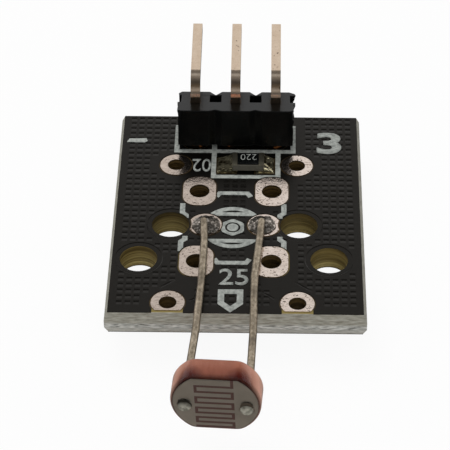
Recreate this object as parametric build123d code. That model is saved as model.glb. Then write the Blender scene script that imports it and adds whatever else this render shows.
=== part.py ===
from build123d import *
from math import cos, radians, sin
import os

# Light sensor module: a small circuit board with a photoresistor held out in front on its two
# leads, a chip resistor and a three-pin header whose pins are bent back over the rear edge.
# X runs across the board, Y from the sensor towards the header, Z up. The origin is midway
# between the two mounting holes, on the board's underside. Lengths are millimetres.

# Board, snapped out of a panel along V-shaped score lines
board_width = 15.0
board_length = 18.5
board_thickness = 1.6
board_shift_x = 0.18
front_edge_distance = 4.71
score_depth = 0.5
score_slope_width = 0.2
mask_thickness = 0.04
foil_thickness = 0.05
mask_clearance = 0.08

# Holes with no copper round them
mounting_hole_diameter = 2.25
mounting_hole_margin = 1.78
locating_hole_diameter = 2.3
locating_hole_from_sensor_pad = 2.12
locating_hole_y = 3.15
locating_hole_copper_gap = 0.14

# Four unused pads for a push button
switch_pad_width = 2.04
switch_pad_length = 2.72
switch_pad_corner = 0.85
switch_hole_diameter = 1.25
switch_spacing_x = 4.5
switch_spacing_y = 6.5
switch_centre_y = 3.05

# Four unused pads near the board's corners; the front two are trimmed short of the edge
corner_pad_diameter = 2.0
corner_hole_diameter = 1.05
corner_spacing_x = 7.62
corner_spacing_y = 12.7
corner_front_margin = 0.86
corner_pad_edge_gap = 0.2
corner_bare_strip_width = 1.85

# Pads that carry the sensor's leads
sensor_pad_diameter = 2.0
sensor_hole_diameter = 1.0
sensor_pad_spacing = 3.6
sensor_pad_y = 3.12
sensor_solder_height = 0.42
sensor_solder_rim = 0.08

# Three-pin header, leaning back on the solder under its front edge
header_pin_spacing = 2.54
header_x = -0.1
header_rear_margin = 1.0
header_depth = 2.54
header_height = 2.54
header_lean_deg = 8.4
header_end_trim = 0.2
header_notch_width = 0.75
header_back_notch_depth = 0.45
header_front_notch_depth = 0.16
header_pocket_width = 0.72
header_pocket_length = 0.84
header_pocket_wall = 0.06
header_pocket_depth = 0.8
header_pad_diameter = 1.8
header_hole_diameter = 1.2
header_solder_rim = 0.08

# Square header pins
pin_size = 0.6
pin_bend_radius = 1.1
pin_rise = 1.35
pin_reach = 5.64
pin_upturn_deg = 3.0
pin_tail = 1.4
pin_tip_chamfer = 0.1

# Chip resistor and its lands
resistor_length = 2.0
resistor_width = 1.25
resistor_height = 0.5
resistor_x = 0.74
resistor_to_header_box = 1.4
resistor_solder_gap = 0.06
terminal_wrap = 0.33
terminal_thickness = 0.04
glaze_thickness = 0.06
glaze_edge_gap = 0.08
land_spacing = 2.4
land_length = 1.16
land_width = 1.5
land_x = 0.58
fillet_height = 0.36
fillet_toe = 0.06
fillet_rim = 0.06

# Photoresistor cell: a round ceramic body with two flats, coated in clear resin
cell_diameter = 5.1
cell_across_flats = 4.34
cell_corner_radius = 0.25
cell_thickness = 1.5
cell_front_edge_radius = 0.28
cell_back_chamfer = 0.08
cell_face_x = -0.78
cell_face_y = -12.63
cell_face_z = 2.08
cell_turn_deg = -4.4
cell_nod_deg = 4.5
cell_roll_deg = -1.5
resin_wall = 0.12
film_thickness = 0.04
film_rim = 0.06

# Zigzag gap between the cell's two metal combs; its strokes come closer down the face
track_width = 0.17
track_half_span = 1.02
track_x = -0.05
track_first_y = 1.49
track_strokes = 9
track_first_spacing = 0.48
track_spacing_loss = 0.0155

# Round leads of the photoresistor, bent by hand a few degrees at each (x, y), all at one height
lead_diameter = 0.45
lead_spacing = 3.49
lead_head_diameter = 0.72
lead_head_thickness = 0.12
lead_dot_diameter = 0.95
lead_dot_top_diameter = 0.5
lead_dot_height = 0.24
lead_stub = 0.6
lead_tail = 1.4
lead_pad_bend_cut = 0.25
lead_height_over_board = 0.5
left_lead_off_centre = -0.1
right_lead_off_centre = -0.16
left_lead_bends = [(-1.80, 1.15), (-1.85, -2.05), (-2.06, -6.65)]
right_lead_bends = [(1.53, 1.2), (1.27, -2.0), (1.25, -6.6)]

# Printed outlines on the board
ink_thickness = 0.03
ink_line_width = 0.32
header_box_off_centre = -0.02
header_box_side_gap = 0.09
header_box_depth = 2.57
header_box_behind_housing = 0.05
resistor_box_left_x = -1.42
resistor_box_right_x = 2.62
resistor_box_depth = 2.52
resistor_box_overrun = 0.55
button_x = -0.12
button_y = 2.87
button_radius = 1.9
button_flat_offset = 1.08
hub_across_flats = 1.38
hub_corner_radius = 0.3
hub_ring_radius = 0.41
hub_ring_width = 0.12
bracket_half_width = 0.86
bracket_offset_y = 3.22
bracket_foot_out = 0.12
bracket_foot_in = 0.2
corner_mark_x = 3.12
corner_mark_step_x = 0.24
corner_mark_near_y = 1.0
corner_mark_foot_y = 1.12
corner_mark_knee_y = 1.34
corner_mark_far_y = 2.05

# Sizes that follow from those above
laminate_bottom = mask_thickness
laminate_top = board_thickness - mask_thickness
foil_top = laminate_top + foil_thickness
ink_top = board_thickness + ink_thickness
board_front_y = -front_edge_distance
board_middle_y = board_front_y + board_length / 2
board_rear_y = board_front_y + board_length
mounting_hole_spacing = board_width - 2 * mounting_hole_margin
locating_hole_spacing = sensor_pad_spacing + 2 * locating_hole_from_sensor_pad
corner_centre_y = board_front_y + corner_front_margin + corner_spacing_y / 2
header_back_y = board_rear_y - header_rear_margin
header_box_front_y = header_back_y - header_box_depth
resistor_box_front_y = header_box_front_y - resistor_box_depth
resistor_y = header_box_front_y - resistor_to_header_box
lead_level = board_thickness + lead_height_over_board
film_front = -resin_wall
film_back = film_front - film_thickness
header_place = Pos(header_x, header_back_y, ink_top) * Rot(X=-header_lean_deg)
pin_drop = header_depth / 2 * sin(radians(header_lean_deg))
cell_place = (
    Pos(cell_face_x, cell_face_y, cell_face_z)
    * Rot(Z=cell_turn_deg)
    * Rot(X=cell_nod_deg)
    * Rot(Y=cell_roll_deg)
    * Rot(X=90)
)


# Places on the board


def pair(spacing, y):
    """Two points side by side, centred on x = 0."""
    return [(side * spacing / 2, y) for side in (-1, 1)]


def four(spacing_x, spacing_y, centre_y):
    """Four corners of a rectangle centred on x = 0: the front two, then the rear two."""
    return pair(spacing_x, centre_y - spacing_y / 2) + pair(spacing_x, centre_y + spacing_y / 2)


def pin_height_at(z):
    """Distance along a header pin, from the housing's base up, where it reaches height z."""
    return (z - ink_top - pin_drop) / cos(radians(header_lean_deg))


def header_hole_y():
    """Where the leaning pins cross the board's mid-plane."""
    lean = radians(header_lean_deg)
    base_y = header_back_y - header_depth / 2 * cos(lean)
    return base_y + pin_height_at(board_thickness / 2) * sin(lean)


mounting_points = pair(mounting_hole_spacing, 0)
locating_points = pair(locating_hole_spacing, locating_hole_y)
switch_points = four(switch_spacing_x, switch_spacing_y, switch_centre_y)
corner_points = four(corner_spacing_x, corner_spacing_y, corner_centre_y)
sensor_points = pair(sensor_pad_spacing, sensor_pad_y)
pin_steps = [-header_pin_spacing, 0, header_pin_spacing]
header_points = [(header_x + step, header_hole_y()) for step in pin_steps]
housing_width = len(pin_steps) * header_pin_spacing - 2 * header_end_trim
land_points = [(land_x + side * land_spacing / 2, resistor_y) for side in (-1, 1)]


def at(points, shape):
    """The same flat shape at each point."""
    return [Pos(x, y) * shape for x, y in points]


def layer(shape, bottom, thickness):
    """A flat shape raised to a height and given a thickness."""
    return extrude(Pos(0, 0, bottom) * shape, thickness)


def hole_outlines():
    """Every hole in the board."""
    return (
        at(mounting_points, Circle(mounting_hole_diameter / 2))
        + at(locating_points, Circle(locating_hole_diameter / 2))
        + at(switch_points, Circle(switch_hole_diameter / 2))
        + at(corner_points, Circle(corner_hole_diameter / 2))
        + at(sensor_points, Circle(sensor_hole_diameter / 2))
        + at(header_points, Circle(header_hole_diameter / 2))
    )


# Flat outlines of the pads; extra widens each one for the opening in the mask


def switch_pad_outlines(extra=0):
    width = switch_pad_width + 2 * extra
    length = switch_pad_length + 2 * extra
    return at(switch_points, RectangleRounded(width, length, switch_pad_corner + extra))


def front_corner_outlines(extra=0):
    """Round pads trimmed short of the board's front edge."""
    pads = at(corner_points[:2], Circle(corner_pad_diameter / 2 + extra))
    trim_y = board_front_y + corner_pad_edge_gap - extra
    strip = Pos(0, trim_y - board_length / 2) * Rectangle(board_width * 2, board_length)
    return [pad - strip for pad in pads]


def front_corner_bare_strips():
    """Bare laminate between the front corner pads and the board's edge."""
    front_y = corner_points[0][1]
    middle = (front_y + board_front_y) / 2
    strip = Rectangle(corner_bare_strip_width, front_y - board_front_y + score_slope_width)
    return [Pos(x, middle) * strip for x, _ in corner_points[:2]]


def rear_corner_outlines(extra=0):
    return at(corner_points[2:], Circle(corner_pad_diameter / 2 + extra))


def sensor_pad_outlines(extra=0):
    """Round pads cut back from the locating holes beside them."""
    reach = locating_hole_diameter / 2 + locating_hole_copper_gap - extra
    clear = at(locating_points, Circle(reach))
    return [pad - clear for pad in at(sensor_points, Circle(sensor_pad_diameter / 2 + extra))]


def header_pad_outlines(extra=0):
    return at(header_points, Circle(header_pad_diameter / 2 + extra))


def land_outlines(extra=0):
    return at(land_points, Rectangle(land_length + 2 * extra, land_width + 2 * extra))


def mask_openings():
    """Everything that the top mask leaves bare, apart from the holes."""
    return (
        switch_pad_outlines(mask_clearance)
        + front_corner_outlines(mask_clearance)
        + front_corner_bare_strips()
        + rear_corner_outlines(mask_clearance)
        + sensor_pad_outlines(mask_clearance)
        + header_pad_outlines(mask_clearance)
        + land_outlines(mask_clearance)
    )


# Board


def board_core():
    """Glass laminate with sloped score faces above and below a square broken web."""
    web_bottom = laminate_bottom + score_depth
    web_top = laminate_top - score_depth
    face = Rectangle(board_width, board_length)
    web = Rectangle(board_width + 2 * score_slope_width, board_length + 2 * score_slope_width)
    core = layer(web, web_bottom, web_top - web_bottom)
    core += loft([Pos(0, 0, laminate_bottom) * face, Pos(0, 0, web_bottom) * web])
    core += loft([Pos(0, 0, web_top) * web, Pos(0, 0, laminate_top) * face])
    core = Pos(board_shift_x, board_middle_y) * core
    return core - [layer(hole, 0, board_thickness) for hole in hole_outlines()]


def mask_sheet(openings):
    """The board's face with openings in it."""
    face = Pos(board_shift_x, board_middle_y) * Rectangle(board_width, board_length)
    return face - openings


def solder_mask_top():
    return layer(mask_sheet(hole_outlines() + mask_openings()), laminate_top, mask_thickness)


def solder_mask_bottom():
    return layer(mask_sheet(hole_outlines()), 0, mask_thickness)


def foil(outlines, points, hole_diameter):
    """Copper pads on the laminate, drilled at the given points."""
    holes = at(points, Circle(hole_diameter / 2))
    pads = [layer(outline - holes, laminate_top, foil_thickness) for outline in outlines]
    return Compound(children=pads)


def switch_pads():
    return foil(switch_pad_outlines(), switch_points, switch_hole_diameter)


def corner_pads():
    outlines = front_corner_outlines() + rear_corner_outlines()
    return foil(outlines, corner_points, corner_hole_diameter)


def sensor_pads():
    return foil(sensor_pad_outlines(), sensor_points, sensor_hole_diameter)


def header_pads():
    return foil(header_pad_outlines(), header_points, header_hole_diameter)


def resistor_lands():
    return Compound(children=[layer(land, laminate_top, foil_thickness) for land in land_outlines()])


# Printed outlines


def stroke(*points):
    """A printed line with square ends and mitred bends through the given points."""
    half = ink_line_width / 2
    line = [Vector(*point) for point in points]
    runs = [(end - start).normalized() for start, end in zip(line, line[1:])]
    line[0] = line[0] - runs[0] * half
    line[-1] = line[-1] + runs[-1] * half
    left = []
    right = []
    for point, before, after in zip(line, runs[:1] + runs, runs + runs[-1:]):
        across = (before + after).rotate(Axis.Z, 90) * (half / (1 + before.dot(after)))
        left.append(point + across)
        right.append(point - across)
    return make_face(Polyline(*left, *reversed(right), close=True))


def printed(shape):
    """Ink on the mask; none stays where the mask is open."""
    return layer(shape - (hole_outlines() + mask_openings()), board_thickness, ink_thickness)


def header_box_print():
    """Box round the header. The housing's rear edge stands on its rear line."""
    width = housing_width + 2 * header_box_side_gap
    front = header_box_front_y
    back = header_back_y + header_box_behind_housing - ink_line_width / 2
    outer = Rectangle(width + ink_line_width, back - front + ink_line_width)
    inner = Rectangle(width - ink_line_width, back - front - ink_line_width)
    return Pos(header_x + header_box_off_centre, (front + back) / 2) * (outer - inner)


def resistor_box_print():
    """Three sides of a box round the resistor, closed by the header's box."""
    front = resistor_box_front_y
    back = header_box_front_y
    return stroke(
        (resistor_box_left_x, back + resistor_box_overrun),
        (resistor_box_left_x, front),
        (resistor_box_right_x, front),
        (resistor_box_right_x, back),
    )


def part_legend():
    return printed(header_box_print() + resistor_box_print())


def button_segment(side, inset):
    """The part of the button's circle beyond a straight line, drawn smaller by an inset."""
    flat = button_flat_offset + inset
    radius = button_radius - inset
    window = Pos(0, side * (flat + button_radius)) * Rectangle(4 * button_radius, 2 * button_radius)
    return Circle(radius) & window


def button_hub():
    """Six-sided hub with flats left and right, split by a thin unprinted ring."""
    hexagon = RegularPolygon(hub_across_flats / 2, 6, major_radius=False, rotation=30)
    hexagon = fillet(hexagon.vertices(), hub_corner_radius)
    ring = Circle(hub_ring_radius + hub_ring_width / 2) - Circle(hub_ring_radius - hub_ring_width / 2)
    return hexagon - ring


def button_bracket(side):
    """A bar beyond the button whose feet step outwards, back towards it."""
    bar_y = side * bracket_offset_y
    foot_y = side * (bracket_offset_y - bracket_foot_in)
    foot_x = bracket_half_width + bracket_foot_out
    return stroke(
        (-foot_x, foot_y), (-bracket_half_width, bar_y), (bracket_half_width, bar_y), (foot_x, foot_y)
    )


def button_corner_mark(side, end):
    """A short line that steps inwards at its end beside a sensor pad."""
    foot_x = side * (corner_mark_x - corner_mark_step_x)
    return stroke(
        (foot_x, end * corner_mark_near_y),
        (foot_x, end * corner_mark_foot_y),
        (side * corner_mark_x, end * corner_mark_knee_y),
        (side * corner_mark_x, end * corner_mark_far_y),
    )


def button_legend():
    """Outline of the push button that this board can carry instead."""
    pieces = [button_hub()]
    for end in (-1, 1):
        pieces.append(button_segment(end, 0) - button_segment(end, ink_line_width))
        pieces.append(button_bracket(end))
        pieces += [button_corner_mark(side, end) for side in (-1, 1)]
    return Compound(children=[printed(Pos(button_x, button_y) * piece) for piece in pieces])


# Header


def header_housing():
    """Three blocks in a row, notched for snapping apart, with a pocket over each joint."""
    housing = Box(housing_width, header_depth, header_height)
    housing = Pos(0, -header_depth / 2, header_height / 2) * housing
    joints = [(step - len(pin_steps) / 2) * header_pin_spacing for step in range(len(pin_steps) + 1)]
    half = header_notch_width / 2
    back_notch = make_face(Polyline((-half, 0), (half, 0), (0, -header_back_notch_depth), close=True))
    front_notch = make_face(
        Polyline((-half, 0), (half, 0), (0, header_front_notch_depth), close=True)
    )
    pocket_y = -(header_back_notch_depth + header_pocket_wall + header_pocket_length / 2)
    pocket = Box(header_pocket_width, header_pocket_length, header_pocket_depth)
    for x in joints:
        housing -= Pos(x, 0) * extrude(back_notch, header_height)
        housing -= Pos(x, -header_depth) * extrude(front_notch, header_height)
        housing -= Pos(x, pocket_y, header_height - header_pocket_depth / 2) * pocket
    hole = Box(pin_size, pin_size, header_height)
    for step in pin_steps:
        housing -= Pos(step, -header_depth / 2, header_height / 2) * hole
    return header_place * housing


def header_pin(step):
    """Square pin: straight up through board and housing, then bent back over the rear edge."""
    turn = radians(header_lean_deg + pin_upturn_deg)
    y = -header_depth / 2
    corner = header_height + pin_rise
    end = (0, y + pin_reach * cos(turn), corner + pin_reach * sin(turn))
    path = FilletPolyline((0, y, pin_height_at(-pin_tail)), (0, y, corner), end, radius=pin_bend_radius)
    section = Plane(origin=path @ 0, x_dir=(1, 0, 0), z_dir=path % 0) * Rectangle(pin_size, pin_size)
    pin = sweep(section, path=path)
    tips = [pin.faces().sort_by_distance(path @ place)[0] for place in (0, 1)]
    pin = chamfer([edge for tip in tips for edge in tip.edges()], pin_tip_chamfer)
    return header_place * Pos(step, 0, 0) * pin


def header_solder():
    """Solder squeezed between the pads and the leaning housing."""
    foot = header_pad_diameter / 2 - header_solder_rim
    height = header_depth * sin(radians(header_lean_deg)) + ink_thickness
    heap = Cone(foot, pin_size, height, align=(Align.CENTER, Align.CENTER, Align.MIN))
    blocks = Box(header_pin_spacing * (len(pin_steps) + 1), header_depth * 2, header_height)
    blocks = header_place * Pos(0, -header_depth / 2, header_height / 2) * blocks
    heaps = []
    for (x, y), step in zip(header_points, pin_steps):
        heaps.append(Pos(x, y, foil_top) * heap - blocks - header_pin(step))
    return Compound(children=heaps)


# Chip resistor


def chip_box(length, width, height):
    """A block centred on the resistor's middle."""
    middle = foil_top + resistor_solder_gap + resistor_height / 2
    return Pos(resistor_x, resistor_y, middle) * Box(length, width, height)


def resistor_body():
    return chip_box(
        resistor_length - 2 * terminal_thickness, resistor_width, resistor_height - 2 * terminal_thickness
    )


def resistor_terminal(side):
    """Metal cap that wraps one end of the chip above and below."""
    inward = (resistor_length - terminal_wrap) / 2
    cap = Pos(side * inward, 0, 0) * chip_box(terminal_wrap, resistor_width, resistor_height)
    return cap - resistor_body()


def resistor_glaze():
    """Black coat on top of the ceramic, between the terminals."""
    top = foil_top + resistor_solder_gap + resistor_height - terminal_thickness
    coat = Box(
        resistor_length - 2 * terminal_wrap,
        resistor_width - 2 * glaze_edge_gap,
        glaze_thickness,
        align=(Align.CENTER, Align.CENTER, Align.MIN),
    )
    return Pos(resistor_x, resistor_y, top) * coat


def resistor_solder(side):
    """Hollow fillet from the land up the chip's end face, and the film under the terminal."""
    land_end = land_x - resistor_x + side * (land_spacing + land_length) / 2
    toe = abs(land_end) - fillet_rim
    chip_end = resistor_length / 2
    inner = chip_end - terminal_wrap
    low = (toe + chip_end) / 2
    profile = Line((inner, 0), (toe, 0))
    profile += Line((toe, 0), (toe, fillet_toe))
    profile += ThreePointArc((toe, fillet_toe), (low, fillet_height / 2), (chip_end, fillet_height))
    profile += Polyline(
        (chip_end, fillet_height), (chip_end, resistor_solder_gap), (inner, resistor_solder_gap), (inner, 0)
    )
    width = land_width - 2 * fillet_rim
    solder = extrude(Plane.XZ * make_face(profile), width / 2, both=True)
    if side < 0:
        solder = mirror(solder, about=Plane.YZ)
    return Pos(resistor_x, resistor_y, foil_top) * solder


# Photoresistor, drawn with its face at z = 0 looking along +Z, and placed by cell_place


def cell_outline(inset):
    """A circle with a flat above and below, rounded where they meet."""
    across = cell_across_flats - 2 * inset
    outline = Circle(cell_diameter / 2 - inset) & Rectangle(cell_diameter, across)
    return fillet(outline.vertices(), cell_corner_radius - inset)


def cell_slab(inset, back, front):
    """The cell's outline, drawn smaller, between two depths behind its face."""
    return layer(cell_outline(inset), back, front - back)


def lead_bore(back, front):
    """Where the two leads pass through the cell."""
    round_lead = Circle(lead_diameter / 2)
    return [layer(Pos(side * lead_spacing / 2, 0) * round_lead, back, front - back) for side in (-1, 1)]


def lead_dot_shape(side):
    """Low flat-topped heap over a lead's head."""
    heap = Cone(
        lead_dot_diameter / 2,
        lead_dot_top_diameter / 2,
        lead_dot_height - film_front,
        align=(Align.CENTER, Align.CENTER, Align.MIN),
    )
    return Pos(side * lead_spacing / 2, 0, film_front) * heap


def lead_head_shape(side):
    head = Circle(lead_head_diameter / 2)
    return layer(Pos(side * lead_spacing / 2, 0) * head, film_front, lead_head_thickness)


def sensor_ceramic():
    core = cell_slab(resin_wall, -cell_thickness, film_back)
    return cell_place * (core - lead_bore(-cell_thickness, film_back))


def track_outline():
    """The zigzag: level strokes joined at alternate ends, open at the cell's top edge."""
    top = cell_across_flats
    y = track_first_y
    stroke_length = 2 * track_half_span + track_width
    zigzag = [Pos(track_half_span, (top + y) / 2) * Rectangle(track_width, top - y)]
    for number in range(track_strokes):
        spacing = track_first_spacing - number * track_spacing_loss
        zigzag.append(Pos(0, y) * Rectangle(stroke_length, track_width))
        if number < track_strokes - 1:
            side = -1 if number % 2 == 0 else 1
            link = Rectangle(track_width, spacing + track_width)
            zigzag.append(Pos(side * track_half_span, y - spacing / 2) * link)
            y -= spacing
    zigzag.append(Pos(0, y - track_half_span) * Rectangle(stroke_length, 2 * track_half_span))
    return Pos(track_x, 0) * (zigzag[0] + zigzag[1:])


def film_area():
    return cell_outline(resin_wall + film_rim)


def sensor_track():
    """Light-sensitive film that shows between the combs."""
    return cell_place * layer(film_area() & track_outline(), film_back, film_thickness)


def sensor_electrode(side):
    """Metal film whose fingers reach between those of its twin."""
    metal = layer(film_area() - track_outline(), film_back, film_thickness)
    metal = metal - lead_bore(film_back, film_front)
    combs = metal.solids().sort_by(Axis.X)
    return cell_place * (combs[0] if side < 0 else combs[-1])


def sensor_resin():
    """Clear coat over the face and round the rim."""
    coat = cell_slab(0, -cell_thickness, 0)
    coat = fillet(coat.faces().sort_by(Axis.Z)[-1].edges(), cell_front_edge_radius)
    coat = chamfer(coat.faces().sort_by(Axis.Z)[0].edges(), cell_back_chamfer)
    coat -= cell_slab(resin_wall, -cell_thickness, film_back)
    coat -= cell_slab(resin_wall + film_rim, film_back, film_front)
    coat -= [lead_dot_shape(side) for side in (-1, 1)]
    return cell_place * coat


def sensor_lead_dot(side):
    """Conductive paint and resin heaped over a lead's head."""
    return cell_place * (lead_dot_shape(side) - lead_head_shape(side))


def sensor_lead(side):
    """Wire from its head on the cell's face back over the board, down and out below it."""
    off_centre = left_lead_off_centre if side < 0 else right_lead_off_centre
    hole_x = side * sensor_pad_spacing / 2 + off_centre
    bends = left_lead_bends if side < 0 else right_lead_bends
    pad_corner = Vector(hole_x, sensor_pad_y, lead_level)
    corners = [Vector(x, y, lead_level) for x, y in bends]
    below = pad_corner - Vector(0, 0, lead_pad_bend_cut)
    beyond = pad_corner + (corners[0] - pad_corner).normalized() * lead_pad_bend_cut
    in_cell = cell_place * Pos(side * lead_spacing / 2, 0, film_front)
    behind_cell = cell_place * Pos(side * lead_spacing / 2, 0, -cell_thickness - lead_stub)
    foot = Vector(hole_x, sensor_pad_y, -lead_tail)
    path = Polyline(foot, below, beyond, *corners, behind_cell.position, in_cell.position)
    section = Pos(foot) * Circle(lead_diameter / 2)
    wire = sweep(section, path=path, transition=Transition.RIGHT)
    return wire + cell_place * lead_head_shape(side)


def sensor_solder(side):
    """Solder heaped round a lead on its pad."""
    base = sensor_pad_diameter / 2 - sensor_solder_rim
    radius = (base**2 + sensor_solder_height**2) / (2 * sensor_solder_height)
    ball = Pos(0, 0, sensor_solder_height - radius) * Sphere(radius)
    above = Pos(0, 0, sensor_solder_height) * Box(2 * base, 2 * base, 2 * sensor_solder_height)
    heap = Pos(side * sensor_pad_spacing / 2, sensor_pad_y, foil_top) * (ball & above)
    reach = locating_hole_diameter / 2 + locating_hole_copper_gap + sensor_solder_rim
    clear = [layer(spot, foil_top, board_thickness) for spot in at(locating_points, Circle(reach))]
    return heap - clear - sensor_lead(side)


nodes = {
    "board_core": board_core(),
    "solder_mask_top": solder_mask_top(),
    "solder_mask_bottom": solder_mask_bottom(),
    "switch_pads": switch_pads(),
    "corner_pads": corner_pads(),
    "sensor_pads": sensor_pads(),
    "header_pads": header_pads(),
    "resistor_lands": resistor_lands(),
    "part_legend": part_legend(),
    "button_legend": button_legend(),
    "header_housing": header_housing(),
    "header_pin_left": header_pin(pin_steps[0]),
    "header_pin_middle": header_pin(pin_steps[1]),
    "header_pin_right": header_pin(pin_steps[2]),
    "header_solder": header_solder(),
    "resistor_body": resistor_body(),
    "resistor_glaze": resistor_glaze(),
    "resistor_terminal_left": resistor_terminal(-1),
    "resistor_terminal_right": resistor_terminal(1),
    "resistor_solder_left": resistor_solder(-1),
    "resistor_solder_right": resistor_solder(1),
    "sensor_ceramic": sensor_ceramic(),
    "sensor_track": sensor_track(),
    "sensor_electrode_left": sensor_electrode(-1),
    "sensor_electrode_right": sensor_electrode(1),
    "sensor_resin": sensor_resin(),
    "sensor_lead_left": sensor_lead(-1),
    "sensor_lead_right": sensor_lead(1),
    "sensor_lead_dot_left": sensor_lead_dot(-1),
    "sensor_lead_dot_right": sensor_lead_dot(1),
    "sensor_solder_left": sensor_solder(-1),
    "sensor_solder_right": sensor_solder(1),
}

os.makedirs("parts", exist_ok=True)
for name, shape in nodes.items():
    export_step(shape, f"parts/{name}.step")
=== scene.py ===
import bmesh
import bpy
from math import atan2, cos, hypot, pi, radians, sin
from mathutils import Euler, Matrix, Vector, noise


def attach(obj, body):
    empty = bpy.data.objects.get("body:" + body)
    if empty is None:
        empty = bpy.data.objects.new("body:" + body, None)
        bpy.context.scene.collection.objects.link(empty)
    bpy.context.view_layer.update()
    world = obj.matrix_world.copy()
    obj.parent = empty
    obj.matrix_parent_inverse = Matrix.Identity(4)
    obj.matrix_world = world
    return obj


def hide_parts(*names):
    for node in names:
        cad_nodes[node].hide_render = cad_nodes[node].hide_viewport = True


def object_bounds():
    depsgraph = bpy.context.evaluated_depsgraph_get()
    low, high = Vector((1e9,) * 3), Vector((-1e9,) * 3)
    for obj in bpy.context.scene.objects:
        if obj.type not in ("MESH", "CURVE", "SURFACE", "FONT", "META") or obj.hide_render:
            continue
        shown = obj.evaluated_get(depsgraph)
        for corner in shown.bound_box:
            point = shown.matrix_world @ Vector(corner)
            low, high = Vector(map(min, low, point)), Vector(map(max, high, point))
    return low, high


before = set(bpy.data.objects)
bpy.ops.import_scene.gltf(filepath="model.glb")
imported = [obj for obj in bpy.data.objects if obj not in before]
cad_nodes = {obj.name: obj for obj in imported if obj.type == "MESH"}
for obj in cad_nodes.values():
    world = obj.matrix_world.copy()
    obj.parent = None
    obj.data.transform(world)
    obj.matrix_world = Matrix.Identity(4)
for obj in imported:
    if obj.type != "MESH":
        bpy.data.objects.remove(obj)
cad_box = [list(corner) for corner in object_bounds()]

# A light sensor module: black circuit board, photoresistor, chip resistor and three-pin header.
# Lengths are written in millimetres and turned to metres with mm.
mm = 0.001
# Points this near each other are one point, points this near a cutting plane lie on it, and surfaces
# this near in height or reach are one surface
same_point = 0.0005
same_plane = 0.000001
same_surface = 0.01
# Every lumpy noise: how its sizes fade, how much finer each is than the last, and how many there are
lump_kind = (1.0, 2.0, 3)

# Board, as in the part's source
board_middle = (0.18, 4.54)
board_size = (15.0, 18.5)
board_top = 1.6
ink_thickness = 0.03
foil_top = 1.61
mounting_holes = [(-5.72, 0.0), (5.72, 0.0)]
locating_holes = [(-3.92, 3.15), (3.92, 3.15)]
switch_pads = [(-2.25, -0.2), (2.25, -0.2), (-2.25, 6.3), (2.25, 6.3)]
corner_pads = [(-3.81, -3.85), (3.81, -3.85), (-3.81, 8.85), (3.81, 8.85)]
sensor_pads = [(-1.8, 3.12), (1.8, 3.12)]
locating_hole_radius = 1.15
mask_margin = 0.14

# The four large holes lie at least the first of these from their middle across, at most the second along
large_holes_middle = (0.0, 1.6)
large_holes_reach = (2.85, 3.0)

# Copper plane under the mask, etched as a grid of small gaps that show through it. The deepest line
# of a gap lies a little behind its middle and has a small share of its width.
gap_pitch = 0.51
gap_corner = (-7.445, -5.155)
gap_count = (30, 38)
gap_margin = 0.08
gap_wall = 0.02
gap_depth = 0.026
gap_deepest = 0.05
gap_bottom_share = 0.06
# Step in the mask round each of the four large holes
step_radius = 1.42
step_depth = 0.028
step_slope = 0.09
# Where the copper has no gaps: outside this box, round holes and pads, and under print, parts and tracks
gap_field = (-6.82, 7.18, -4.1, 13.6)
round_clearings = [(mounting_holes, 1.62), (locating_holes, 1.62), (corner_pads, 1.55), (sensor_pads, 1.3)]
switch_pad_clearing = (1.3, 1.65)
box_clearings = [(-4.1, 4.1, 9.6, 13.6), (-3.1, 3.1, 7.6, 13.6), (-1.3, 1.3, -2.9, -0.9)]
track_box = (1.75, 4.05, -4.4, -1.2)
track_diagonal = 0.4
track_reach = 1.1
track_edges = [
    ((-3.3, -1.72), (-4.5, -2.72)),
    ((-2.0, -3.36), (-2.7, -3.76)),
    ((3.45, -1.8), (4.9, -2.96)),
    ((1.5, -2.66), (2.7, -3.66)),
]
# A track's edge is cut with a four-sided cone: its radius at the bottom and at the top
track_cutter = (0.02, 0.2)
# How far the shapes that cut the mask out reach past it, above and below
cutter_reach = 0.1

# Photoresistor cell, as in the part's source
cell_centre = (-0.78, -12.63, 2.08)
cell_turn = (94.502, -1.495, -4.518)
cell_radius = 2.55
cell_half_height = 2.17
cell_corner_sharpness = 40
cell_thickness = 1.5
lead_spacing = 3.49
resin_wall = 0.12
resin_front_round = 0.28
resin_back_round = 0.08
cell_rotation = Euler(map(radians, cell_turn)).to_matrix().to_4x4()
cell_place = Matrix.Translation(Vector(cell_centre) * mm) @ cell_rotation

# Paint dabs over the heads of the leads, left and right, and the dent that drying left in them
dab_drops = (0.2, 0.3)
dab_radius = 0.43
dab_height = 0.35
dab_least = 0.005
dab_wander = 0.03
dent_middle = (0.05, -0.08)
dent_radius = 0.2

# Solder heaps round the leads: a foot, a bell-shaped rise and lumps over both; the edge wanders too
heap_least = 0.02
heap_foot = 0.06
heap_height = 0.33
heap_lumps = 0.035
heap_wander = 0.14
heap_edge_waves = 3
heap_lump_waves = 5
heap_clearance = 0.05

# Header housing: rounding of its edges, and its torn ends. Their flash stands out most near the top and
# less below, and its lumps rise and fall about a middle height, which cuts off the lowest of them.
housing_round = 0.05
left_flash = 0.05
right_flash = 0.17
flash_height = 1.1
flash_below = 0.35
lump_middle = 0.45
lumps_per_mm = 2.0
tear_steps = 20


# Materials


def linear(code):
    """An sRGB hex colour as the linear RGBA that a shader takes."""
    parts = [int(code[i : i + 2], 16) / 255 for i in (1, 3, 5)]
    return [c / 12.92 if c <= 0.04045 else ((c + 0.055) / 1.055) ** 2.4 for c in parts] + [1.0]


def node(tree, kind, links=None, **settings):
    """One shader node with its settings; links gives its inputs a value or another node's output."""
    made = tree.nodes.new(kind)
    for name, value in settings.items():
        setattr(made, name, value)
    for name, value in (links or {}).items():
        if isinstance(value, bpy.types.NodeSocket):
            tree.links.new(value, made.inputs[name])
        else:
            made.inputs[name].default_value = value
    return made


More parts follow.
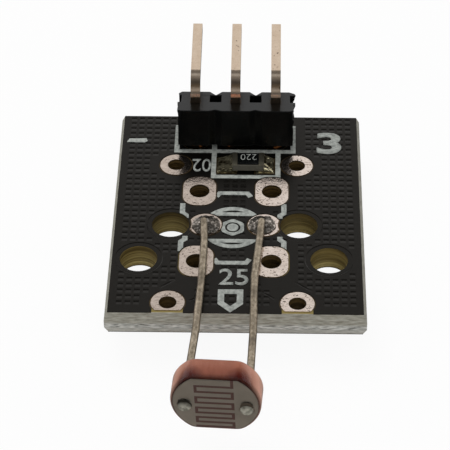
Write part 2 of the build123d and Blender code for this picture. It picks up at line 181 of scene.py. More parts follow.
def finish_named(name, colour, roughness, **sockets):
    """A new material with one colour; returns it with its tree and its shader."""
    material = bpy.data.materials.new(name)
    material.use_nodes = True
    tree = material.node_tree
    shader = tree.nodes["Principled BSDF"]
    shader.inputs["Base Color"].default_value = linear(colour)
    shader.inputs["Roughness"].default_value = roughness
    for socket, value in sockets.items():
        shader.inputs[socket.replace("_", " ")].default_value = value
    return material, tree, shader


def grain(tree, size, detail=2.0, stretch=(1, 1, 1)):
    """Soft noise whose grains are about size millimetres, stretched along the axes."""
    place = node(tree, "ShaderNodeTexCoord").outputs["Object"]
    scale = [1 / (size * mm * s) for s in stretch]
    place = node(tree, "ShaderNodeMapping", {"Vector": place, "Scale": scale}).outputs[0]
    return node(tree, "ShaderNodeTexNoise", {"Vector": place, "Scale": 1.0, "Detail": detail}).outputs[0]


def shaded(tree, measure, first, second, low=0.0, high=1.0):
    """Colour that goes from first to second as a measure rises from low to high."""
    limits = {"Value": measure, "From Min": low, "From Max": high}
    colours = {0: node(tree, "ShaderNodeMapRange", limits).outputs[0]}
    for socket, colour in ((6, first), (7, second)):
        colours[socket] = linear(colour) if isinstance(colour, str) else colour
    return node(tree, "ShaderNodeMix", colours, data_type="RGBA").outputs[2]


def by_place(tree, measure, first, second, limits):
    """Colour that goes from first to second between two limits in millimetres."""
    return shaded(tree, measure, first, second, *[limit * mm for limit in limits])


def inside_cell(tree):
    """The place in the photoresistor's own frame: x across, y up, z out of its face."""
    move = {
        "Vector": node(tree, "ShaderNodeTexCoord").outputs["Object"],
        "Location": [c * mm for c in cell_centre],
        "Rotation": [radians(a) for a in cell_turn],
    }
    return node(tree, "ShaderNodeMapping", move, vector_type="TEXTURE").outputs[0]


def offsets(tree, centre):
    """How far a place lies from a centre across and along, always positive."""
    place = node(tree, "ShaderNodeTexCoord").outputs["Object"]
    middle = [c * mm for c in centre] + [0]
    off = node(tree, "ShaderNodeVectorMath", {0: place, 1: middle}, operation="SUBTRACT").outputs[0]
    off = node(tree, "ShaderNodeVectorMath", {0: off}, operation="ABSOLUTE").outputs[0]
    return node(tree, "ShaderNodeSeparateXYZ", {0: off}).outputs


def distance_to(tree, vector, point):
    """Distance from a point given in millimetres, with the left half as a mirror of the right one."""
    mirrored = node(tree, "ShaderNodeVectorMath", {0: vector, 1: (1, 0, 0)}, operation="MULTIPLY")
    across = node(tree, "ShaderNodeVectorMath", {0: mirrored.outputs[0]}, operation="ABSOLUTE")
    rest = node(tree, "ShaderNodeVectorMath", {0: vector, 1: (0, 1, 1)}, operation="MULTIPLY")
    whole = node(tree, "ShaderNodeVectorMath", {0: across.outputs[0], 1: rest.outputs[0]}, operation="ADD")
    target = {0: whole.outputs[0], 1: [c * mm for c in point]}
    return node(tree, "ShaderNodeVectorMath", target, operation="DISTANCE").outputs["Value"]


def relief(tree, shader, depth, size, detail=2.0, stretch=(1, 1, 1)):
    """Fine bumps about size millimetres across and depth millimetres high."""
    height = grain(tree, size, detail, stretch)
    bump = node(tree, "ShaderNodeBump", {"Height": height, "Distance": depth * mm, "Strength": 1.0})
    tree.links.new(bump.outputs[0], shader.inputs["Normal"])


def black_mask():
    """Glossy black solder mask, screened and cured: near black itself, it mirrors pale surroundings."""
    material, tree, shader = finish_named("black_solder_mask", "#0b0a09", 0.32, Specular_IOR_Level=0.22)
    shader.inputs["Specular Tint"].default_value = linear("#fff4e4")
    tint = shaded(tree, grain(tree, 1.2), "#080807", "#0f0d0b")
    tree.links.new(tint, shader.inputs["Base Color"])
    relief(tree, shader, 0.004, 0.25)
    return material


def tinned_copper():
    """Pads tinned with hot solder: bright and slightly pink, darker at the left, pitted and scratched."""
    left_of_middle = (-1.2, 0)
    material, tree, shader = finish_named("hot_tinned_copper", "#efddd0", 0.2, Metallic=1.0)
    across = node(tree, "ShaderNodeTexCoord").outputs["Object"]
    across = node(tree, "ShaderNodeSeparateXYZ", {0: across}).outputs[0]
    dull = shaded(tree, grain(tree, 0.4), "#bbaa9d", "#e6d7cb")
    bright = shaded(tree, grain(tree, 0.4), "#e0ccbd", "#fff2e8")
    cloud = by_place(tree, across, dull, bright, left_of_middle)
    pitted = shaded(tree, grain(tree, 0.13, 4.0), cloud, "#5c4e43", 0.57, 0.66)
    worn = shaded(tree, grain(tree, 0.7), cloud, pitted, 0.36, 0.56)
    scratched = shaded(tree, grain(tree, 0.1, 2.0, (6, 0.7, 1)), worn, "#93857a", 0.64, 0.7)
    tree.links.new(scratched, shader.inputs["Base Color"])
    relief(tree, shader, 0.01, 0.2, 3.0)
    return material


def glass_laminate():
    """Glass-cloth laminate: olive and ringed in the drilled holes, with painted shade that darkens the small
    and the rear holes and painted light low in the large ones; grey and torn where it broke.
    """
    # Where one colour gives way to the next: from front to rear (painted shade in the rear holes), up from
    # the underside (painted light low in a hole), or at the edge
    rear_holes_shade_blend = (1.2, 1.9)
    painted_light_low_in_hole = (0.2, 1.3)
    front_ledge = (-4.4, -4.3)
    hole_blend = 0.05
    foot_line = (0.02, 0.08)
    torn_from = (0.44, 0.54)
    torn_to = (0.8, 0.95)
    edge_skin = 0.06
    edge_blend = 0.02
    material, tree, shader = finish_named("glass_laminate", "#7a6a3c", 0.6)
    place = node(tree, "ShaderNodeTexCoord").outputs["Object"]
    ahead, height = node(tree, "ShaderNodeSeparateXYZ", {0: place}).outputs[1:]
    rings = grain(tree, 0.3, 3.0, (30, 30, 0.5))
    deep_front = shaded(tree, rings, "#54461f", "#8a7844", 0.4, 0.6)
    # Painted shade: the rear large holes are darker than the front ones
    deep_rear_shaded = shaded(tree, rings, "#3e3417", "#6a5a31", 0.4, 0.6)
    deep = by_place(tree, ahead, deep_front, deep_rear_shaded, rear_holes_shade_blend)
    # Painted light: a large hole's wall turns paler low down, near the underside
    low = shaded(tree, rings, "#8f7d4a", "#cdbb7a", 0.4, 0.6)
    large = by_place(tree, height, low, deep, painted_light_low_in_hole)
    # Painted shade: the small holes are darker than the large ones
    small = shaded(tree, rings, "#3c2e15", "#604c28", 0.4, 0.6)
    across, along = offsets(tree, large_holes_middle)[:2]
    nearest, furthest = large_holes_reach
    holes = by_place(tree, across, small, large, (nearest - hole_blend, nearest))
    holes = by_place(tree, along, holes, small, (furthest, furthest + hole_blend))
    holes = by_place(tree, ahead, "#91804a", holes, front_ledge)
    torn_shape = (0.25, 5.0, (2.0, 2.0, 0.4))
    cloth = grain(tree, 0.2, 5.0, (3.0, 3.0, 0.5))
    lower = shaded(tree, cloth, "#98968c", "#d4d3cb", 0.3, 0.7)
    web = shaded(tree, grain(tree, *torn_shape), "#6a6a63", "#dadad3", 0.32, 0.64)
    upper = shaded(tree, cloth, "#827f71", "#b8b6aa", 0.3, 0.7)
    edge = by_place(tree, height, lower, web, torn_from)
    edge = by_place(tree, height, edge, upper, torn_to)
    edge = by_place(tree, height, "#7d6f4a", edge, foot_line)
    colour = holes
    for off, size in zip(offsets(tree, board_middle), board_size):
        start = size / 2 - edge_skin
        colour = by_place(tree, off, colour, edge, (start, start + edge_blend))
    tree.links.new(colour, shader.inputs["Base Color"])
    relief(tree, shader, 0.06, *torn_shape)
    return material


def pale_ink():
    """Screen-printed white ink, thin enough that the black shows through: flat pale grey."""
    material, tree, shader = finish_named("printed_ink", "#a4a8a2", 0.55)
    cloud = shaded(tree, grain(tree, 0.22, 3.0), "#858985", "#b2b6b0", 0.3, 0.6)
    tree.links.new(cloud, shader.inputs["Base Color"])
    relief(tree, shader, 0.02, 0.15)
    return material


def black_moulding():
    """Glass-filled nylon, moulded black: nearly black with a satin grain."""
    material, tree, shader = finish_named("moulded_black_nylon", "#060707", 0.24, Specular_IOR_Level=0.25)
    cloud = shaded(tree, grain(tree, 0.4, 3.0), "#040505", "#0a0b0a")
    tree.links.new(cloud, shader.inputs["Base Color"])
    relief(tree, shader, 0.004, 0.14, 3.0)
    return material


def plated_brass():
    """Brass pins with a thin tin plating: warm and fairly bright, with dark pits and faint draw lines."""
    material, tree, shader = finish_named("tin_plated_brass", "#dfc7af", 0.14, Metallic=1.0)
    cloud = shaded(tree, grain(tree, 0.35, 4.0, (1, 2, 1)), "#d6bda4", "#f0dcc6")
    pitted = shaded(tree, grain(tree, 0.2, 3.0), cloud, "#6a5848", 0.66, 0.72)
    tree.links.new(pitted, shader.inputs["Base Color"])
    relief(tree, shader, 0.006, 0.12, 3.0, (1, 2, 2))
    return material


def frosted_solder():
    """Solder that set slowly: dark grey metal with a frosted skin of bright grains."""
    material, tree, shader = finish_named("frosted_solder", "#7d7770", 0.3, Metallic=1.0)
    cloud = shaded(tree, grain(tree, 0.5), "#57524b", "#7a736a")
    frosted = shaded(tree, grain(tree, 0.16, 5.0), cloud, "#d8cec4", 0.5, 0.66)
    tree.links.new(frosted, shader.inputs["Base Color"])
    relief(tree, shader, 0.03, 0.18, 5.0)
    return material


def fluxed_solder():
    """Solder under a glassy brown skin of flux: dark and wet-looking, with yellowish glints."""
    material, tree, shader = finish_named("fluxed_solder", "#b5a988", 0.1, Metallic=0.92)
    burnt = shaded(tree, grain(tree, 0.4, 3.0), "#5d533a", "#f0e6c0", 0.4, 0.6)
    tree.links.new(burnt, shader.inputs["Base Color"])
    relief(tree, shader, 0.08, 0.35, 1.0)
    return material


def copper_in_painted_shade():
    """Header pads under the housing: tinned copper, brown with flux and painted near black as the housing's
    shadow, with a painted orange glint here and there.
    """
    material, tree, shader = finish_named("copper_in_painted_shade", "#20150c", 0.25, Metallic=1.0)
    # Painted shade and glints: near black copper for the housing's shadow, with orange glint spots
    painted_shade_and_glints = shaded(tree, grain(tree, 0.3, 3.0), "#120d08", "#7a4a24", 0.6, 0.68)
    tree.links.new(painted_shade_and_glints, shader.inputs["Base Color"])
    return material


def white_alumina():
    """Sintered alumina of a chip resistor: matte warm grey."""
    material, tree, shader = finish_named("sintered_alumina", "#5c594f", 0.6)
    cloud = shaded(tree, grain(tree, 0.15, 3.0), "#524f46", "#676459")
    tree.links.new(cloud, shader.inputs["Base Color"])
    return material


def black_glaze():
    """Fired black glass over the resistor film: smooth and glossy."""
    material, tree, shader = finish_named("fired_black_glass", "#070909", 0.2)
    relief(tree, shader, 0.003, 0.2)
    return material


def tinned_terminal():
    """Plated end caps of the chip, half covered with flux: dull yellowish tin."""
    material, tree, shader = finish_named("plated_chip_cap", "#a39d89", 0.4, Metallic=1.0)
    cloud = shaded(tree, grain(tree, 0.2, 3.0), "#918b78", "#b5af9a")
    tree.links.new(cloud, shader.inputs["Base Color"])
    relief(tree, shader, 0.01, 0.15, 3.0)
    return material


def pink_ceramic():
    """Unglazed ceramic of the cell: salmon behind, browner in front, with dark red front corners; its round
    sides are paler with painted highlight, and a painted shadow darkens a rim round its face."""
    # Places in the cell's own frame, and where one colour gives way to the next in depth or distance
    front_corner = (1.5, 2.0, -0.1)
    top_middle = (0, 2.0, -0.1)
    back_to_front = (-1.2, -0.2)
    painted_highlight_sides = (1.8, 2.7)
    corner_reach = (0.4, 1.05)
    # Depths of the painted shadow round the face
    rim = (-0.5, -0.12)
    material, tree, shader = finish_named("salmon_ceramic", "#b57a66", 0.6, Specular_IOR_Level=0.1)
    place = inside_cell(tree)
    depth = node(tree, "ShaderNodeSeparateXYZ", {0: place}).outputs[2]
    cloud = grain(tree, 0.4, 3.0, (0.5, 2, 2))
    back = shaded(tree, cloud, "#955f49", "#b07862")
    front = shaded(tree, cloud, "#67301e", "#804a35")
    side = by_place(tree, depth, back, front, back_to_front)
    corner = distance_to(tree, place, front_corner)
    middle = distance_to(tree, place, top_middle)
    # Painted highlight: the round sides turn pale
    side = by_place(tree, middle, side, "#e4beac", painted_highlight_sides)
    side = by_place(tree, corner, "#4e0e03", side, corner_reach)
    # Painted shadow: a dark rim round the face
    face_rim_painted_shadow = by_place(tree, depth, side, "#260f08", rim)
    tree.links.new(face_rim_painted_shadow, shader.inputs["Base Color"])
    return material


def sulphide_film():
    """Fired light-sensitive film: dull dark red-brown."""
    material, tree, shader = finish_named("cadmium_film", "#67504c", 0.6)
    cloud = shaded(tree, grain(tree, 0.15, 3.0), "#402a27", "#523a37")
    tree.links.new(cloud, shader.inputs["Base Color"])
    return material


def grey_electrode():
    """Evaporated metal film: soft green-grey with no sharp reflections."""
    material, tree, shader = finish_named("evaporated_metal_film", "#8c8d85", 0.5, Metallic=0.5)
    cloud = shaded(tree, grain(tree, 0.8, 3.0), "#74766c", "#878980")
    tree.links.new(cloud, shader.inputs["Base Color"])
    return material


def clear_resin():
    """Dipped clear epoxy with a faint pink cast: glassy, with a soft rounded rim."""
    material, tree, shader = finish_named("clear_epoxy", "#fae6de", 0.12, IOR=1.38)
    shader.inputs["Transmission Weight"].default_value = 1.0
    relief(tree, shader, 0.006, 0.6)
    return material


def tinned_wire():
    """Tinned steel lead, drawn and handled: dull brown-grey, finely speckled; painted shade darkens its head
    under the paint dab.
    """
    head_shade_start = (-1.2, -1.0)
    material, tree, shader = finish_named("tinned_steel_wire", "#a0937f", 0.36, Metallic=1.0)
    speckled = shaded(tree, grain(tree, 0.15, 4.0, (1, 1.6, 1)), "#908370", "#cfc0aa", 0.35, 0.7)
    worn = shaded(tree, grain(tree, 1.4), speckled, "#7a6f60", 0.45, 0.7)
    depth = node(tree, "ShaderNodeSeparateXYZ", {0: inside_cell(tree)}).outputs[2]
    # Painted shade: the lead's head near the cell's face turns dark
    head_painted_shade = by_place(tree, depth, worn, "#4c493f", head_shade_start)
    tree.links.new(head_painted_shade, shader.inputs["Base Color"])
    relief(tree, shader, 0.015, 0.15, 3.0)
    return material


def grey_paint_dot():
    """Dab of conductive paint under resin: grey and a little shiny, with painted shade round its upper edge.
    """
    lit_below = 0.12
    paint_edge_shade_reach = (0.36, 0.54)
    material, tree, shader = finish_named("conductive_paint", "#9a978a", 0.25)
    cloud = shaded(tree, grain(tree, 0.25, 3.0), "#716f62", "#b8b5a6", 0.3, 0.7)
    lit = (lead_spacing / 2, -lit_below - sum(dab_drops) / 2, 0.0)
    edge = distance_to(tree, inside_cell(tree), lit)
    # Painted shade: dark round the dab's upper edge, away from its lit part
    ringed = by_place(tree, edge, cloud, "#3a3831", paint_edge_shade_reach)
    tree.links.new(ringed, shader.inputs["Base Color"])
    return material


# Which finish each node of the frame takes
finishes = {
    black_mask(): ["solder_mask_top", "solder_mask_bottom"],
    tinned_copper(): ["switch_pads", "corner_pads", "sensor_pads"],
    glass_laminate(): ["board_core"],
    pale_ink(): ["part_legend", "button_legend"],
    black_moulding(): ["header_housing"],
    plated_brass(): ["header_pin_left", "header_pin_middle", "header_pin_right"],
    frosted_solder(): ["sensor_solder_left", "sensor_solder_right"],
    fluxed_solder(): ["resistor_solder_left", "resistor_solder_right", "resistor_lands"],
    copper_in_painted_shade(): ["header_pads", "header_solder"],
    white_alumina(): ["resistor_body"],
    black_glaze(): ["resistor_glaze"],
    tinned_terminal(): ["resistor_terminal_left", "resistor_terminal_right"],
    pink_ceramic(): ["sensor_ceramic"],
    sulphide_film(): ["sensor_track"],
    grey_electrode(): ["sensor_electrode_left", "sensor_electrode_right"],
    clear_resin(): ["sensor_resin"],
    tinned_wire(): ["sensor_lead_left", "sensor_lead_right"],
    grey_paint_dot(): ["sensor_lead_dot_left", "sensor_lead_dot_right"],
}
for material, names in finishes.items():
    for name in names:
        cad_nodes[name].data.materials.clear()
        cad_nodes[name].data.materials.append(material)
finish_of = {material.name: material for material in finishes}


# New pieces


def as_mesh(bm, name):
    """The bmesh as a mesh of that name."""
    mesh = bpy.data.meshes.new(name)
    bm.to_mesh(mesh)
    bm.free()
    return mesh


def piece(name, bm, material):
    """A finished piece made from a bmesh in metres; it rides with the board."""
    bmesh.ops.recalc_face_normals(bm, faces=bm.faces[:])
    mesh = as_mesh(bm, name)
    mesh.materials.append(finish_of[material])
    mesh.shade_smooth()
    made = bpy.data.objects.new(name, mesh)
    bpy.context.scene.collection.objects.link(made)
    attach(made, "root")
    return made


def merged_copy(name):
    """A CAD node's mesh with its loose triangles joined."""
    bm = bmesh.new()
    bm.from_mesh(cad_nodes[name].data)
    bmesh.ops.remove_doubles(bm, verts=bm.verts[:], dist=same_point * mm)
    return bm


def combined(first, second, operation):
    """The exact boolean of two closed bmeshes."""
    holder = bpy.data.objects.new("holder", as_mesh(first, "holder"))
    tool = bpy.data.objects.new("tool", as_mesh(second, "tool"))
    for thing in (holder, tool):
        bpy.context.scene.collection.objects.link(thing)
    cut = holder.modifiers.new("cut", "BOOLEAN")
    cut.object = tool
    cut.operation = operation
    cut.solver = "EXACT"
    result = bmesh.new()
    result.from_object(holder, bpy.context.evaluated_depsgraph_get())
    for thing in (holder, tool):
        bpy.data.meshes.remove(thing.data)
    return result


def within(x, y, box):
    """Whether a point lies in a box given by its left, right, front and rear."""
    return box[0] < x < box[1] and box[2] < y < box[3]


def copper_gap_at(x, y):
    """Whether the copper plane has a gap there: none by a hole, a pad, a part or a track."""
    for holes, reach in round_clearings:
        if any(hypot(x - hx, y - hy) < reach for hx, hy in holes):
            return False
    width, length = switch_pad_clearing
    if any(abs(x - px) < width and abs(y - py) < length for px, py in switch_pads):
        return False
    if any(within(x, y, box) for box in box_clearings) or not within(x, y, gap_field):
        return False
    return not (within(abs(x), y, track_box) and abs(abs(x) + y - track_diagonal) < track_reach)


def copper_relief():
    """A plate whose top dips at each gap; a dip is gentle in front and steeper behind."""
    bm = bmesh.new()
    bmesh.ops.create_grid(bm, x_segments=gap_count[0], y_segments=gap_count[1], size=0.5)
    size = [count * gap_pitch * mm for count in gap_count]
    bmesh.ops.scale(bm, vec=(*size, 1), verts=bm.verts[:])
    shift = [gap_corner[axis] * mm + size[axis] / 2 for axis in (0, 1)]
    bmesh.ops.translate(bm, vec=(*shift, board_top * mm), verts=bm.verts[:])
    gaps = [f for f in bm.faces if copper_gap_at(*(f.calc_center_median().xy / mm))]
    bmesh.ops.inset_individual(bm, faces=gaps, thickness=gap_margin * mm, use_even_offset=True)
    bmesh.ops.inset_individual(
        bm, faces=gaps, thickness=gap_wall * mm, depth=-gap_depth * mm, use_even_offset=True
    )
    for gap in gaps:
        middle = gap.calc_center_median().y
        for v in gap.verts:
            v.co.y = middle + gap_deepest * mm + (v.co.y - middle) * gap_bottom_share
    rim = [e for e in bm.edges if e.is_boundary]
    skirt = bmesh.ops.extrude_edge_only(bm, edges=rim)["geom"]
    for v in skirt:
        if isinstance(v, bmesh.types.BMVert):
            v.co.z = (board_top - cutter_reach) * mm
    bmesh.ops.contextual_create(bm, geom=[e for e in bm.edges if e.is_boundary])
    bmesh.ops.recalc_face_normals(bm, faces=bm.faces[:])
    return bm


def relief_cutters():
    """Round steps and tapered lines; each stands as far above the mask's top as it cuts into it."""
    bm = bmesh.new()
    bottom_radius, top_radius = track_cutter
    for x, y in mounting_holes + locating_holes:
        bmesh.ops.create_cone(
            bm,
            cap_ends=True,
            segments=96,
            radius1=step_radius * mm,
            radius2=(step_radius + step_slope) * mm,
            depth=2 * step_depth * mm,
            matrix=Matrix.Translation((x * mm, y * mm, board_top * mm)),
        )
    for start, end in track_edges:
        run = Vector(end) - Vector(start)
        middle = (Vector(start) + Vector(end)) / 2
        place = Matrix.Translation((middle.x * mm, middle.y * mm, board_top * mm))
        turn = Matrix.Rotation(Vector((1, 0)).angle_signed(run) * -1, 4, "Z")
        length = Matrix.Diagonal((run.length / top_radius, 1, 1, 1))
        bmesh.ops.create_cone(
            bm,
            cap_ends=True,
            segments=4,
            radius1=bottom_radius * mm,
            radius2=top_radius * mm,
            depth=2 * gap_depth * mm,
            matrix=place @ turn @ length @ Matrix.Rotation(pi / 4, 4, "Z"),
        )
    return bm


def printed_board_mask():
    """Top mask that follows the copper under it."""
    outline = merged_copy("solder_mask_top")
    for v in outline.verts:
        if v.co.z > (board_top - same_surface) * mm:
            v.co.z = (board_top + cutter_reach) * mm
    plate = combined(copper_relief(), relief_cutters(), "DIFFERENCE")
    mask = piece("relief_mask", combined(outline, plate, "INTERSECT"), "black_solder_mask")
    mask.data.shade_flat()
    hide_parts("solder_mask_top")


def mark(name, text, low, high, weight=0.0, turned=False):
    """Printed digits, made bolder by weight, that fill the box from low to high."""
    # In the font's own units; the box gives the real size
    thickness = 0.1
    same_font_point = 0.0001
    data = bpy.data.curves.new(name, "FONT")
    data.body = text
    data.offset = weight
    data.extrude = thickness
    holder = bpy.data.objects.new(name, data)
    bpy.context.scene.collection.objects.link(holder)
    drawn = bpy.data.meshes.new_from_object(holder.evaluated_get(bpy.context.evaluated_depsgraph_get()))
    bm = bmesh.new()
    bm.from_mesh(drawn)
    bpy.data.objects.remove(holder)
    bpy.data.meshes.remove(drawn)
    bmesh.ops.remove_doubles(bm, verts=bm.verts[:], dist=same_font_point)
    if turned:
        bmesh.ops.rotate(bm, verts=bm.verts[:], cent=(0, 0, 0), matrix=Matrix.Rotation(pi, 3, "Z"))
    for axis in range(3):
        least = min(v.co[axis] for v in bm.verts)
        most = max(v.co[axis] for v in bm.verts)
        for v in bm.verts:
            share = (v.co[axis] - least) / (most - least)
            v.co[axis] = (low[axis] + share * (high[axis] - low[axis])) * mm
    piece(name, bm, "printed_ink")


def outline_mark(name, corners, band):
    """A printed shape with straight sides; band is the width of its line, 0 where it is filled."""
    bm = bmesh.new()
    inside = bm.faces.new([bm.verts.new((x * mm, y * mm, board_top * mm)) for x, y in corners])
    bm.normal_update()
    if band:
        bmesh.ops.inset_individual(bm, faces=[inside], thickness=band * mm, use_even_offset=True)
        bmesh.ops.delete(bm, geom=[inside], context="FACES")
    raised = bmesh.ops.extrude_face_region(bm, geom=bm.faces[:], use_keep_orig=True)["geom"]
    tops = [v for v in raised if isinstance(v, bmesh.types.BMVert)]
    bmesh.ops.translate(bm, verts=tops, vec=(0, 0, ink_thickness * mm))
    piece(name, bm, "printed_ink").data.shade_flat()


def printed_marks():
    """A bar, a pentagon and plain numbers where the board and the chip have their print."""
    top = board_top + ink_thickness
    chip_low, chip_top = 2.19, 2.2
    line_width = 0.38
    mark("digit_right", "3", (5.08, 10.05, board_top), (6.65, 12.18, top), weight=0.03)
    mark("digits_front", "25", (-0.85, -2.31, board_top), (0.9, -0.89, top), weight=0.01)
    mark("digits_resistor", "02", (-2.78, 8.19, board_top), (-1.61, 9.43, top), turned=True)
    mark("digits_chip", "220", (0.27, 8.68, chip_low), (1.27, 9.24, chip_top), weight=-0.012, turned=True)
    bar = [(-7.05, 11.08), (-6.9, 11.42), (-5.8, 11.46), (-5.73, 11.2), (-5.9, 11.05)]
    outline_mark("bar_left", bar, band=0)
    pentagon = [(-0.88, -2.7), (0.62, -2.7), (0.62, -3.95), (-0.13, -4.66), (-0.88, -3.95)]
    outline_mark("pentagon_front", pentagon, line_width)


def mound(radius_at, height_at):
    """A closed low heap over a flat base, in millimetres round its own centre."""
    bm = bmesh.new()
    bmesh.ops.create_uvsphere(bm, u_segments=72, v_segments=36, radius=1)
    for v in bm.verts:
        share = min(1, hypot(v.co.x, v.co.y))
        angle = atan2(v.co.y, v.co.x)
        reach = radius_at(angle) * share
        x, y = reach * cos(angle), reach * sin(angle)
        v.co = (x, y, height_at(x, y) if v.co.z > 0.01 else 0)
    return bm


def sensor_joint(name, side, centre, radius, seed):
    """Frosted solder with an uneven edge and a lumpy top, drawn up round the lead."""

    def radius_at(angle):
        around = Vector((heap_edge_waves * cos(angle), heap_edge_waves * sin(angle), seed))
        return radius + heap_wander * noise.noise(around)

    def height_at(x, y):
        slope = (1 + cos(pi * min(1, hypot(x, y) / radius))) / 2
        lumps = noise.fractal(Vector((x, y, seed)) * heap_lump_waves, *lump_kind)
        return max(heap_least, heap_foot + heap_height * slope ** 0.7 + heap_lumps * lumps)

    bm = mound(radius_at, height_at)
    hole = Vector(locating_holes[0 if side < 0 else 1])
    keep_out = locating_hole_radius + mask_margin + heap_clearance
    for v in bm.verts:
        v.co += Vector((centre[0], centre[1], foil_top))
        off = v.co.xy - hole
        if off.length < keep_out:
            v.co.xy = hole + off.normalized() * keep_out
    bmesh.ops.scale(bm, vec=(mm, mm, mm), verts=bm.verts[:])
    joint = piece(name, bm, "frosted_solder")
    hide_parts("sensor_solder_left" if side < 0 else "sensor_solder_right")


def lead_dab(name, side, drop, dent):
    """Dab of paint over a lead's head, sunk in the middle where it shrank as it dried."""

    def radius_at(angle):
        return dab_radius + dab_wander * noise.noise(Vector((cos(angle), sin(angle), side)))

    def height_at(x, y):
        reach = min(1, hypot(x, y) / dab_radius)
        off = hypot(x - dent_middle[0], y - dent_middle[1])
        dip = dent * max(0, 1 - (off / dent_radius) ** 2)
        return dab_height * (1 - reach ** 2.2) ** 0.8 - dip + dab_least

    bm = mound(radius_at, height_at)
    bmesh.ops.translate(bm, verts=bm.verts[:], vec=(side * lead_spacing / 2, -drop, -resin_wall))
    bmesh.ops.scale(bm, vec=(mm, mm, mm), verts=bm.verts[:])
    bmesh.ops.transform(bm, matrix=cell_place, verts=bm.verts[:])
    dab = piece(name, bm, "conductive_paint")
    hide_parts("sensor_lead_dot_left" if side < 0 else "sensor_lead_dot_right")


def resin_coat():
    """Clear coat round the cell as one solid, so that the cell is seen inside it."""
    bm = bmesh.new()
    bmesh.ops.create_circle(bm, cap_ends=True, radius=mm, segments=160)
    power = cell_corner_sharpness
    for v in bm.verts:
        flat = abs(v.co.y / mm / cell_half_height) ** power
        v.co *= (cell_radius ** -power + flat) ** (-1 / power)
    back = bmesh.ops.extrude_face_region(bm, geom=bm.faces[:], use_keep_orig=True)
    moved = [v for v in back["geom"] if isinstance(v, bmesh.types.BMVert)]
    bmesh.ops.translate(bm, verts=moved, vec=(0, 0, -cell_thickness * mm))
    for height, width in ((0, resin_front_round), (-cell_thickness, resin_back_round)):
        rim = [e for e in bm.edges if all(abs(v.co.z - height * mm) < same_point * mm for v in e.verts)]
        bmesh.ops.bevel(
            bm, geom=rim, offset=width * mm, segments=5, affect="EDGES", profile=0.5, material=-1
        )
    bmesh.ops.transform(bm, matrix=cell_place, verts=bm.verts[:])
    coat = piece("resin_coat", bm, "clear_epoxy")
    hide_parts("sensor_resin")


def end_faces(bm, side):
    """The flat faces at the left or right end of a shape."""
    end = max(side * v.co.x for v in bm.verts)
    return [
        f for f in bm.faces
        if side * f.normal.x > 0.9 and side * f.calc_center_median().x > end - same_surface * mm
    ]


def tear_end(bm, side, reach):
    """Rough end where the housing was snapped off its strip, with most of the flash at its top."""
    bm.normal_update()
    corners = {v.co.copy().freeze() for f in end_faces(bm, side) for v in f.verts}
    for normal in (Vector((0, 1, 0)), Vector((0, 0, 1))):
        low = min(c.dot(normal) for c in corners)
        high = max(c.dot(normal) for c in corners)
        for step in range(1, tear_steps):
            torn = end_faces(bm, side)
            geom = torn + list({e for f in torn for e in f.edges}) + list({v for f in torn for v in f.verts})
            cut = low + (high - low) * step / tear_steps
            bmesh.ops.bisect_plane(
                bm, geom=geom, dist=same_plane * mm, plane_co=normal * cut, plane_no=normal
            )
            bm.normal_update()
    top = max(c.z for c in corners)
    for v in {v for f in end_faces(bm, side) for v in f.verts}:
        place = v.co / mm * lumps_per_mm + Vector((0, side, 0))
        lump = max(0, lump_middle + noise.fractal(place, *lump_kind))
        near_top = max(0, 1 - (top - v.co.z) / (flash_height * mm))
        v.co.x += side * reach * (flash_below + near_top) * lump * mm


def rounded_housing():
    """The header's housing: edges rounded as they leave the mould, ends torn off the strip."""
    bm = merged_copy("header_housing")
    bmesh.ops.dissolve_limit(bm, angle_limit=radians(1), verts=bm.verts[:], edges=bm.edges[:])
    bm.normal_update()
    rims = {e for side in (-1, 1) for f in end_faces(bm, side) for e in f.edges}
    sharp = [e for e in bm.edges if e.is_manifold and e not in rims and e.calc_face_angle() > radians(20)]
    bmesh.ops.bevel(
        bm, geom=sharp, offset=housing_round * mm, segments=2, clamp_overlap=True, affect="EDGES",
        profile=0.5, material=-1,
    )
    for side, reach in ((-1, left_flash), (1, right_flash)):
        tear_end(bm, side, reach)
    housing = piece("rounded_housing", bm, "moulded_black_nylon")
    housing.data.shade_flat()
    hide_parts("header_housing")


printed_board_mask()
printed_marks()
sensor_joint("solder_heap_left", -1, centre=(-1.74, 3.04), radius=0.87, seed=3.0)
sensor_joint("solder_heap_right", 1, centre=(1.66, 3.08), radius=0.84, seed=7.0)
lead_dab("paint_dab_left", -1, drop=dab_drops[0], dent=0.14)
lead_dab("paint_dab_right", 1, drop=dab_drops[1], dent=0.03)
resin_coat()
rounded_housing()


# Stage, light and camera

floor_half = 500
# Share of plain white in the floor that the eye sees; the rest of it takes the shadow
floor_white = 0.93

camera_place = (2.086, -93.771, 86.166)
camera_turn = (48.891, 0.357, 1.273)
camera_lens = 168.4
camera_sensor = 36

# What a shiny surface sees, by the angle up from the rear horizon over the top to the front one
room_bands = [
    (-90, "#000000"),
    (-15, "#ffffff"),
    (10, "#fbfbfb"),
    (30, "#ededed"),
    (43, "#e6e6e6"),
    (47, "#d2d2d2"),
    (53, "#767676"),
    (64, "#6c6c6c"),
    (77, "#b0b4b8"),
    (89, "#848484"),
    (110, "#545454"),
    (121, "#404040"),
    (142, "#5e5850"),
    (152, "#818181"),
    (162, "#a2a2a2"),
    (173, "#696969"),
    (184, "#3f3f3f"),
    (195, "#000000"),
]


def ray_kinds(tree):
    """1 or 0 for what the eye sees straight or through the resin, and for what a shiny surface sees."""
    rays = node(tree, "ShaderNodeLightPath").outputs
    seen = {0: rays["Is Camera Ray"], 1: rays["Is Transmission Ray"]}
    return node(tree, "ShaderNodeMath", seen, operation="MAXIMUM").outputs[0], rays["Is Glossy Ray"]


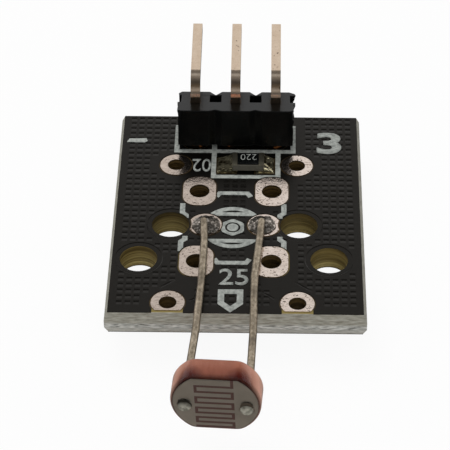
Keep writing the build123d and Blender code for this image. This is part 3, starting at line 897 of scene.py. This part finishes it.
def add_stage():
    """Pale floor: white to the eye, with the object's shadow, and mid grey in what shines."""
    bm = bmesh.new()
    bmesh.ops.create_grid(bm, x_segments=1, y_segments=1, size=floor_half * mm)
    bmesh.ops.translate(bm, verts=bm.verts[:], vec=(0, 0, cad_box[0][2]))
    floor = bpy.data.objects.new("floor", as_mesh(bm, "floor"))
    bpy.context.scene.collection.objects.link(floor)
    material, tree, shader = finish_named("floor_paper", "#f4f4f4", 0.9)
    floor.data.materials.append(material)
    white = node(tree, "ShaderNodeEmission", {"Color": (1, 1, 1, 1), "Strength": 1.0}).outputs[0]
    seen, mirrored = ray_kinds(tree)
    tint = shaded(tree, mirrored, "#f4f4f4", "#8c8c8c")
    tree.links.new(tint, shader.inputs["Base Color"])
    share = node(tree, "ShaderNodeMath", {0: seen, 1: floor_white}, operation="MULTIPLY").outputs[0]
    blend = node(tree, "ShaderNodeMixShader", {0: share, 1: shader.outputs[0], 2: white}).outputs[0]
    tree.links.new(blend, tree.nodes["Material Output"].inputs[0])


def add_world():
    """A white room for the eye. What shines sees a pale backdrop, a dark ceiling and a soft box overhead."""
    world = bpy.data.worlds.new("studio")
    bpy.context.scene.world = world
    world.use_nodes = True
    tree = world.node_tree
    seen, mirrored = ray_kinds(tree)
    place = node(tree, "ShaderNodeTexCoord").outputs["Generated"]
    axes = node(tree, "ShaderNodeSeparateXYZ", {0: place})
    sides = {0: axes.outputs[1], 1: axes.outputs[2]}
    turn = node(tree, "ShaderNodeMath", sides, operation="ARCTAN2").outputs[0]
    round_once = {0: turn, 1: 1 / (2 * pi), 2: 0.5}
    share = node(tree, "ShaderNodeMath", round_once, operation="MULTIPLY_ADD").outputs[0]
    ramp = node(tree, "ShaderNodeValToRGB", {0: share})
    # The ramp starts at 270 degrees and ends a full turn lower
    for degrees, colour in room_bands:
        stop = ramp.color_ramp.elements.new((270 - degrees) / 360)
        stop.color = linear(colour)
    fill = shaded(tree, mirrored, "#b8b8b8", ramp.outputs[0])
    tree.links.new(shaded(tree, seen, fill, "#ffffff"), tree.nodes["Background"].inputs["Color"])


def add_lamp(name, place, size, power):
    """A square soft lamp aimed at the part's origin; place and size in millimetres, power in watts."""
    data = bpy.data.lights.new(name, "AREA")
    data.size = size * mm
    data.energy = power
    lamp = bpy.data.objects.new(name, data)
    lamp.location = Vector(place) * mm
    lamp.visible_glossy = False
    lamp.rotation_euler = (-Vector(place)).to_track_quat("-Z", "Y").to_euler()
    bpy.context.scene.collection.objects.link(lamp)


def add_camera():
    """Looks down on the board from in front, with a long lens."""
    data = bpy.data.cameras.new("camera")
    data.sensor_width = camera_sensor
    data.lens = camera_lens
    data.clip_start = 10 * mm
    data.clip_end = 5000 * mm
    camera = bpy.data.objects.new("camera", data)
    camera.location = Vector(camera_place) * mm
    camera.rotation_euler = Euler(map(radians, camera_turn))
    bpy.context.scene.collection.objects.link(camera)
    bpy.context.scene.camera = camera


add_stage()
add_world()
add_lamp("rear_softbox", place=(-80, 160, 240), size=200, power=0.36)
add_lamp("front_fill", place=(60, -220, 200), size=200, power=0.16)
add_camera()
bpy.context.scene.view_settings.view_transform = "Standard"
